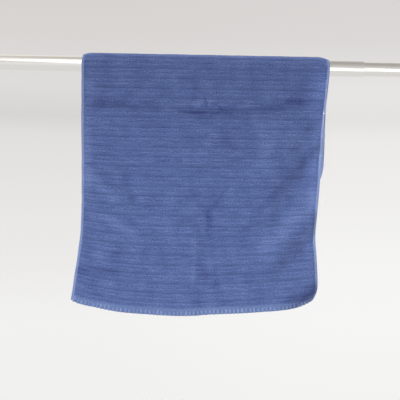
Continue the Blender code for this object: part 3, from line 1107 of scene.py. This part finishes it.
def model_stitch():
    """One stitch, lying along Y."""
    bpy.ops.object.select_all(action="DESELECT")
    bpy.ops.mesh.primitive_uv_sphere_add(
        segments=STITCH_SIDES, ring_count=STITCH_RINGS, radius=0.5
    )
    stitch = bpy.context.object
    bpy.ops.object.mode_set(mode="EDIT")
    bpy.ops.transform.rotate(value=math.pi / 2, orient_axis="X", center_override=(0, 0, 0))
    bpy.ops.transform.resize(value=STITCH_SIZE)
    bpy.ops.object.mode_set(mode="OBJECT")
    bpy.ops.object.shade_smooth()
    return stitch


def seam_stitches(across):
    """A matrix for each stitch of a side seam, on both faces of the cloth."""
    count = round(TOWEL_LENGTH / STITCH_PITCH) - 2
    matrices = []
    for number in range(1, count):
        along = number * TOWEL_LENGTH / count
        for outward in (SEAM_THICKNESS / 2, -SEAM_THICKNESS / 2):
            matrices.append(cloth_frame(across, along, outward))
    return matrices


left_seam = copy_to(model_stitch(), seam_stitches(SEAM_FROM_EDGE), "left_seam")
right_seam = copy_to(model_stitch(), seam_stitches(TOWEL_WIDTH - SEAM_FROM_EDGE), "right_seam")
print("stitch faces:", len(left_seam.data.polygons), len(right_seam.data.polygons))

# %% [markdown]
# ## Sewing yarn
# The yarn of the hems is thicker and softer than the thread of the seams, but both are the
# same pale blue cotton. They share a finish that reads Object coordinates, because copies
# that were joined have no map of their own.

# %% Sewing yarn material
YARN_SHADE = (0.105, 0.146, 0.290, 1.0)
YARN_PALE = (0.162, 0.213, 0.378, 1.0)
SEWING_YARN = {"Streak length": 0.0012, "Streak height": 0.0012, "Speck size": 0.0012}
SEWING_BASE_TONE = -0.9
SEWING_SPECK_PALER = 0.8
UNEVEN_PALER = 2.0
UNEVEN_SCALE = 120.0

sewing, tree, shader = new_material("sewing_yarn")
place = add_node(tree, "ShaderNodeTexCoord", {}).outputs["Object"]
specks = use_group(tree, yarn_group, {"Place": place, **SEWING_YARN}).outputs["Specks"]
uneven = noise_value(tree, place, UNEVEN_SCALE)
parts = [(specks, SEWING_SPECK_PALER), (uneven, UNEVEN_PALER)]
tone = weighted_sum(tree, SEWING_BASE_TONE, parts)
tree.links.new(mixed_colour(tree, tone, YARN_SHADE, YARN_PALE), shader.inputs["Base Color"])
add_bump(tree, shader, specks, strength=0.6, distance=0.0004)
set_sockets(shader, {"Roughness": 0.85, "Sheen Weight": 0.2})
SEWN = (front_turns, back_turns, left_seam, right_seam)
for piece in SEWN:
    piece.data.materials.clear()
    piece.data.materials.append(sewing)
print("sewn pieces:", len(SEWN))

# %% [markdown]
# ## The tubes of the rod
# The rod is two thin steel tubes. The wide one is open at its right end, where its edge is
# rolled in to guide the narrow one. A tube could be left as a plain cylinder, but its mouth
# is in full view, so the end face is inset to the bore, pushed in as a lip, widened and run
# on down the tube, and a small bevel takes the sharpness off its edges.

# %% Tube modelling
ROD_LENGTH = 0.930
WIDE_TUBE_LENGTH = 0.791
NARROW_TUBE_RADIUS = 0.0140
NARROW_TUBE_START = 0.560
TUBE_WALL = 0.0010
MOUTH_LIP = 0.0060
RUNNING_GAP = 0.0003
TUBE_SIDES = 96
EDGE_BEVEL = 0.0006
BEVEL_STEPS = 3
BEVEL_ANGLE = math.radians(50)
SMOOTH_ANGLE = math.radians(35)
NEAR_END = 1e-5
FACING_END = 0.99


def select_end(tube, x):
    """Selects the one face of a tube that lies at an end."""
    bpy.ops.object.mode_set(mode="OBJECT")
    for part in (tube.data.vertices, tube.data.edges, tube.data.polygons):
        for item in part:
            item.select = False
    for face in tube.data.polygons:
        face.select = abs(face.center.x - x) < NEAR_END and abs(face.normal.x) > FACING_END
    bpy.ops.object.mode_set(mode="EDIT")
    bpy.ops.mesh.select_mode(type="FACE")


def model_tube(name, start, length, radius, open_end, mouth_radius):
    """A tube along X from start, with its mouth at open_end and closed at the other end."""
    bpy.ops.object.select_all(action="DESELECT")
    bpy.ops.mesh.primitive_cylinder_add(vertices=TUBE_SIDES, radius=radius, depth=length)
    tube = bpy.context.object
    tube.name = name
    bpy.ops.object.mode_set(mode="EDIT")
    bpy.ops.mesh.select_all(action="SELECT")
    bpy.ops.transform.rotate(value=math.pi / 2, orient_axis="Y", center_override=(0, 0, 0))
    bpy.ops.transform.translate(value=(start + length / 2, 0.0, 0.0))
    inward = -1.0 if open_end > start else 1.0
    bore = radius - TUBE_WALL
    select_end(tube, open_end)
    bpy.ops.mesh.inset(thickness=radius - mouth_radius, use_even_offset=False)
    extrude(x=inward * MOUTH_LIP)
    extrude(x=inward * TUBE_WALL)
    bpy.ops.transform.resize(value=(1.0, bore / mouth_radius, bore / mouth_radius))
    extrude(x=inward * (length - MOUTH_LIP - 3 * TUBE_WALL))
    bpy.ops.object.mode_set(mode="OBJECT")
    edge = tube.modifiers.new("edges", "BEVEL")
    edge.width = EDGE_BEVEL
    edge.segments = BEVEL_STEPS
    edge.angle_limit = BEVEL_ANGLE
    bpy.ops.object.modifier_apply(modifier=edge.name)
    bpy.ops.object.shade_smooth_by_angle(angle=SMOOTH_ANGLE)
    return tube


wide = model_tube("wide_tube_steel", 0.0, WIDE_TUBE_LENGTH, TUBE_RADIUS,
                  WIDE_TUBE_LENGTH, NARROW_TUBE_RADIUS + RUNNING_GAP)
narrow = model_tube("narrow_tube_steel", NARROW_TUBE_START, ROD_LENGTH - NARROW_TUBE_START,
                    NARROW_TUBE_RADIUS, NARROW_TUBE_START, NARROW_TUBE_RADIUS - TUBE_WALL)
for tube in (wide, narrow):
    print(tube.name, [round(1000 * size, 1) for size in tube.dimensions])

# %% [markdown]
# ## Polished steel
# The tubes are polished along their length and wiped with a cloth now and then. That leaves
# hair-fine marks along X and broad smears that are a little duller. Both tubes need them in
# different amounts, since the narrow one also rubs in the mouth of the wide one, so they
# are a node group. The colour itself comes almost wholly from what the steel mirrors.

# %% Steel materials
MARK_STRETCH = (22.0, 2600.0, 2600.0)
SMEAR_SCALE = 38.0
# Columns: piece, finish, colour, roughness of the bare steel, fine marks, smears
STEEL_FINISHES = (
    (wide, "wide_tube_polish", (0.86, 0.85, 0.83, 1.0), 0.13, 0.06, 0.10),
    (narrow, "narrow_tube_polish", (0.84, 0.83, 0.80, 1.0), 0.15, 0.12, 0.10),
)

marks_group, start, end = new_group(
    "polish_marks",
    [("Place", VECTOR, (0.0, 0.0, 0.0)), ("Fine marks", FLOAT, 0.05), ("Smears", FLOAT, 0.05)],
    [("Roughness", FLOAT), ("Height", FLOAT)],
)
stretch = add_node(marks_group, "ShaderNodeMapping",
                   {"Vector": start.outputs["Place"], "Scale": MARK_STRETCH})
fine = noise_value(marks_group, stretch.outputs["Vector"], 1.0, detail=3.0)
smears = noise_value(marks_group, start.outputs["Place"], SMEAR_SCALE, detail=3.0)
fine_part = calculate(marks_group, "MULTIPLY", fine, start.outputs["Fine marks"])
rough = calculate(marks_group, "MULTIPLY_ADD", smears, start.outputs["Smears"], fine_part)
marks_group.links.new(rough, end.inputs["Roughness"])
marks_group.links.new(fine_part, end.inputs["Height"])


def steel_material(name, colour, base_roughness, fine_marks, smears):
    """Polished steel with its own amount of marks."""
    material, tree, shader = new_material(name)
    place = add_node(tree, "ShaderNodeTexCoord", {}).outputs["Object"]
    marks = use_group(tree, marks_group,
                      {"Place": place, "Fine marks": fine_marks, "Smears": smears})
    rough = calculate(tree, "ADD", marks.outputs["Roughness"], base_roughness)
    tree.links.new(rough, shader.inputs["Roughness"])
    add_bump(tree, shader, marks.outputs["Height"], strength=0.12, distance=0.0001)
    set_sockets(shader, {"Base Color": colour, "Metallic": 1.0})
    return material


for tube, *finish in STEEL_FINISHES:
    tube.data.materials.append(steel_material(*finish))
print("steel finishes:", len(STEEL_FINISHES))

# %% [markdown]
# ## What each piece rides on
# Every piece rides on the one body of the model, and the CAD nodes that the pieces replace
# are hidden.

# %% Ride and replace
for piece in (cloth, *SEWN, wide, narrow):
    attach(piece, "root")
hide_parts("towel")
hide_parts("wide_tube")
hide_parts("narrow_tube")

# %% [markdown]
# ## Floor
# The floor is a plain pale disc well below the towel. It is out of the first camera's view,
# but it bounces light up to the hem, and the other views stand on it. The steel would mirror
# the lamps' pools of light on it as hard patches, which a furnished room doesn't give, so
# mirror rays see one even tone in its place.

# %% Floor
FLOOR_HEIGHT = -1.30
FLOOR_RADIUS = 2.45
FLOOR_SIDES = 96
FLOOR_GREY = (0.80, 0.79, 0.78, 1.0)
FLOOR_WHITE = (0.84, 0.835, 0.83, 1.0)
FLOOR_GRAIN = 60.0
MIRRORED_FLOOR = (0.80, 0.79, 0.775, 1.0)

bpy.ops.object.select_all(action="DESELECT")
bpy.ops.mesh.primitive_circle_add(
    vertices=FLOOR_SIDES, radius=FLOOR_RADIUS, fill_type="NGON",
    location=(TOWEL_MIDDLE, 0.0, FLOOR_HEIGHT)
)
floor = bpy.context.object
floor.name = "floor"
paint, tree, shader = new_material("floor_paint")
place = add_node(tree, "ShaderNodeTexCoord", {}).outputs["Object"]
grain = noise_value(tree, place, FLOOR_GRAIN, detail=3.0)
tree.links.new(mixed_colour(tree, grain, FLOOR_GREY, FLOOR_WHITE), shader.inputs["Base Color"])
set_sockets(shader, {"Roughness": 0.8})
mirrored = add_node(tree, "ShaderNodeEmission", {"Color": MIRRORED_FLOOR})
glossy = add_node(tree, "ShaderNodeLightPath", {}).outputs["Is Glossy Ray"]
seen = add_node(tree, "ShaderNodeMixShader",
                {0: glossy, 1: shader.outputs[0], 2: mirrored.outputs[0]})
tree.links.new(seen.outputs[0], tree.nodes["Material Output"].inputs["Surface"])
floor.data.materials.append(paint)
print("floor at", FLOOR_HEIGHT)

# %% [markdown]
# ## Room light
# The photograph has a white room behind and round the towel: the wall is greyer towards the
# ceiling and almost white low down, and its right side is lighter than its left. A world
# shader can be that room. Its colour depends on the direction alone: two ramps read the
# height, one for each side, and are mixed over the middle of the view. The rows above the
# picture are what the top of the steel mirrors, and they are bright at the left, which
# gives the tube its pale upper rim. The room is dimmed for the light that it casts on
# cloth, because the lamps give most of that.

# %% World
# Columns: height of the direction, colour at the left, colour at the right
WALL_STOPS = (
    (-1.00, (0.800, 0.790, 0.780), (0.800, 0.790, 0.780)),
    (-0.24, (0.880, 0.876, 0.872), (0.897, 0.893, 0.890)),
    (-0.15, (0.890, 0.885, 0.881), (0.922, 0.918, 0.915)),
    (-0.08, (0.834, 0.826, 0.820), (0.916, 0.911, 0.907)),
    (0.00, (0.797, 0.787, 0.781), (0.868, 0.860, 0.855)),
    (0.08, (0.750, 0.737, 0.729), (0.832, 0.822, 0.814)),
    (0.10, (0.676, 0.663, 0.655), (0.778, 0.766, 0.757)),
    (0.14, (0.736, 0.720, 0.710), (0.796, 0.784, 0.774)),
    (0.20, (0.690, 0.668, 0.653), (0.704, 0.686, 0.672)),
    (0.25, (0.668, 0.644, 0.628), (0.690, 0.670, 0.655)),
    (0.40, (0.960, 0.920, 0.870), (0.650, 0.627, 0.607)),
    (0.65, (1.000, 0.950, 0.890), (0.580, 0.555, 0.530)),
    (0.85, (0.880, 0.840, 0.790), (0.490, 0.465, 0.440)),
    (0.94, (0.600, 0.570, 0.545), (0.445, 0.420, 0.395)),
    (1.00, (0.600, 0.570, 0.545), (0.420, 0.395, 0.370)),
)
SIDE_REACH = 0.19
SOFT_LIGHT = 0.46

world = bpy.data.worlds.new("room")
bpy.context.scene.world = world
world.use_nodes = True
tree = world.node_tree
background = tree.nodes["Background"]
direction = add_node(tree, "ShaderNodeTexCoord", {}).outputs["Generated"]
axes = add_node(tree, "ShaderNodeSeparateXYZ", {"Vector": direction})
position = calculate(tree, "MULTIPLY_ADD", axes.outputs["Z"], 0.5, 0.5)
ramps = []
for side in (1, 2):
    stops = [((stop[0] + 1) / 2, (*stop[side], 1.0)) for stop in WALL_STOPS]
    ramps.append(colour_ramp(tree, position, stops))
to_right = smooth_range(tree, axes.outputs["X"], -SIDE_REACH, SIDE_REACH)
tree.links.new(mixed_colour(tree, to_right, *ramps), background.inputs["Color"])
ray = add_node(tree, "ShaderNodeLightPath", {}).outputs["Is Diffuse Ray"]
strength = calculate(tree, "MULTIPLY_ADD", ray, SOFT_LIGHT - 1.0, 1.0)
tree.links.new(strength, background.inputs["Strength"])
bpy.context.scene.view_settings.view_transform = "Standard"
print("world stops:", len(WALL_STOPS))

# %% [markdown]
# ## Lamps
# Eight soft lamps light the towel, and a row of a table holds each. Two give the cloth its
# form: a tall slanted one behind the camera, and a key lamp at the left that aims at the
# lower half, so that the ridges have a light side and the towel grows brighter downwards.
# Weaker ones fill in from the right, from below and from above, a narrow beam lights the
# right hem and the strip of the back layer beside it, and one stands behind for the views
# from the back. The last lamp is the bright line on the steel: only mirror rays see it, and
# it lights no cloth, so the line could be placed without changing anything else.

# %% Lamps
WIDE_OPEN = 180
# Columns: name, place, what it aims at, width and height, power, turn and spread in degrees
LAMPS = (
    ("slanted_window", (0.42, -2.60, -0.10), (0.42, 0.0, -0.10), (0.9, 4.2), 10.5, -27, WIDE_OPEN),
    ("key_lamp", (-1.25, -1.90, 0.40), (0.90, 0.0, -0.80), (0.8, 0.8), 9, 0, 50),
    ("right_fill", (1.90, -0.35, -0.20), (0.71, 0.0, -0.20), (0.6, 0.9), 6, 0, WIDE_OPEN),
    ("edge_light", (2.00, -1.20, -0.20), (0.745, 0.0, -0.20), (0.04, 0.40), 0.18, 0, 4),
    ("low_bounce", (0.50, -0.75, -1.15), (0.47, 0.0, -0.45), (1.4, 0.6), 4, 0, WIDE_OPEN),
    ("overhead", (0.47, 0.10, 1.40), (0.47, 0.0, 0.0), (1.4, 0.5), 18, 0, WIDE_OPEN),
    ("back_window", (0.47, 2.60, 0.30), (0.47, 0.0, -0.20), (2.0, 2.0), 42, 0, WIDE_OPEN),
    ("steel_glint", (0.57, -2.60, 0.27), (0.57, 0.0, 0.27), (1.9, 5.9), 45, 30, WIDE_OPEN),
)


def add_lamp(name, place, target, size, power, turn, spread):
    """A rectangular soft lamp aimed at a point, that mirror rays don't see."""
    bpy.ops.object.select_all(action="DESELECT")
    bpy.ops.object.light_add(type="AREA", location=place)
    lamp = bpy.context.object
    lamp.name = name
    lamp.data.shape = "RECTANGLE"
    lamp.data.size, lamp.data.size_y = size
    lamp.data.energy = power
    lamp.data.spread = math.radians(spread)
    lamp.visible_glossy = False
    aim = (Vector(target) - Vector(place)).to_track_quat("-Z", "Y").to_matrix().to_4x4()
    lamp.rotation_euler = (aim @ Matrix.Rotation(math.radians(turn), 4, "Z")).to_euler()
    return lamp


lamps = [add_lamp(*row) for row in LAMPS]
glint = lamps[-1]
glint.visible_glossy = True
glint.visible_diffuse = False
print("lamps:", len(lamps))
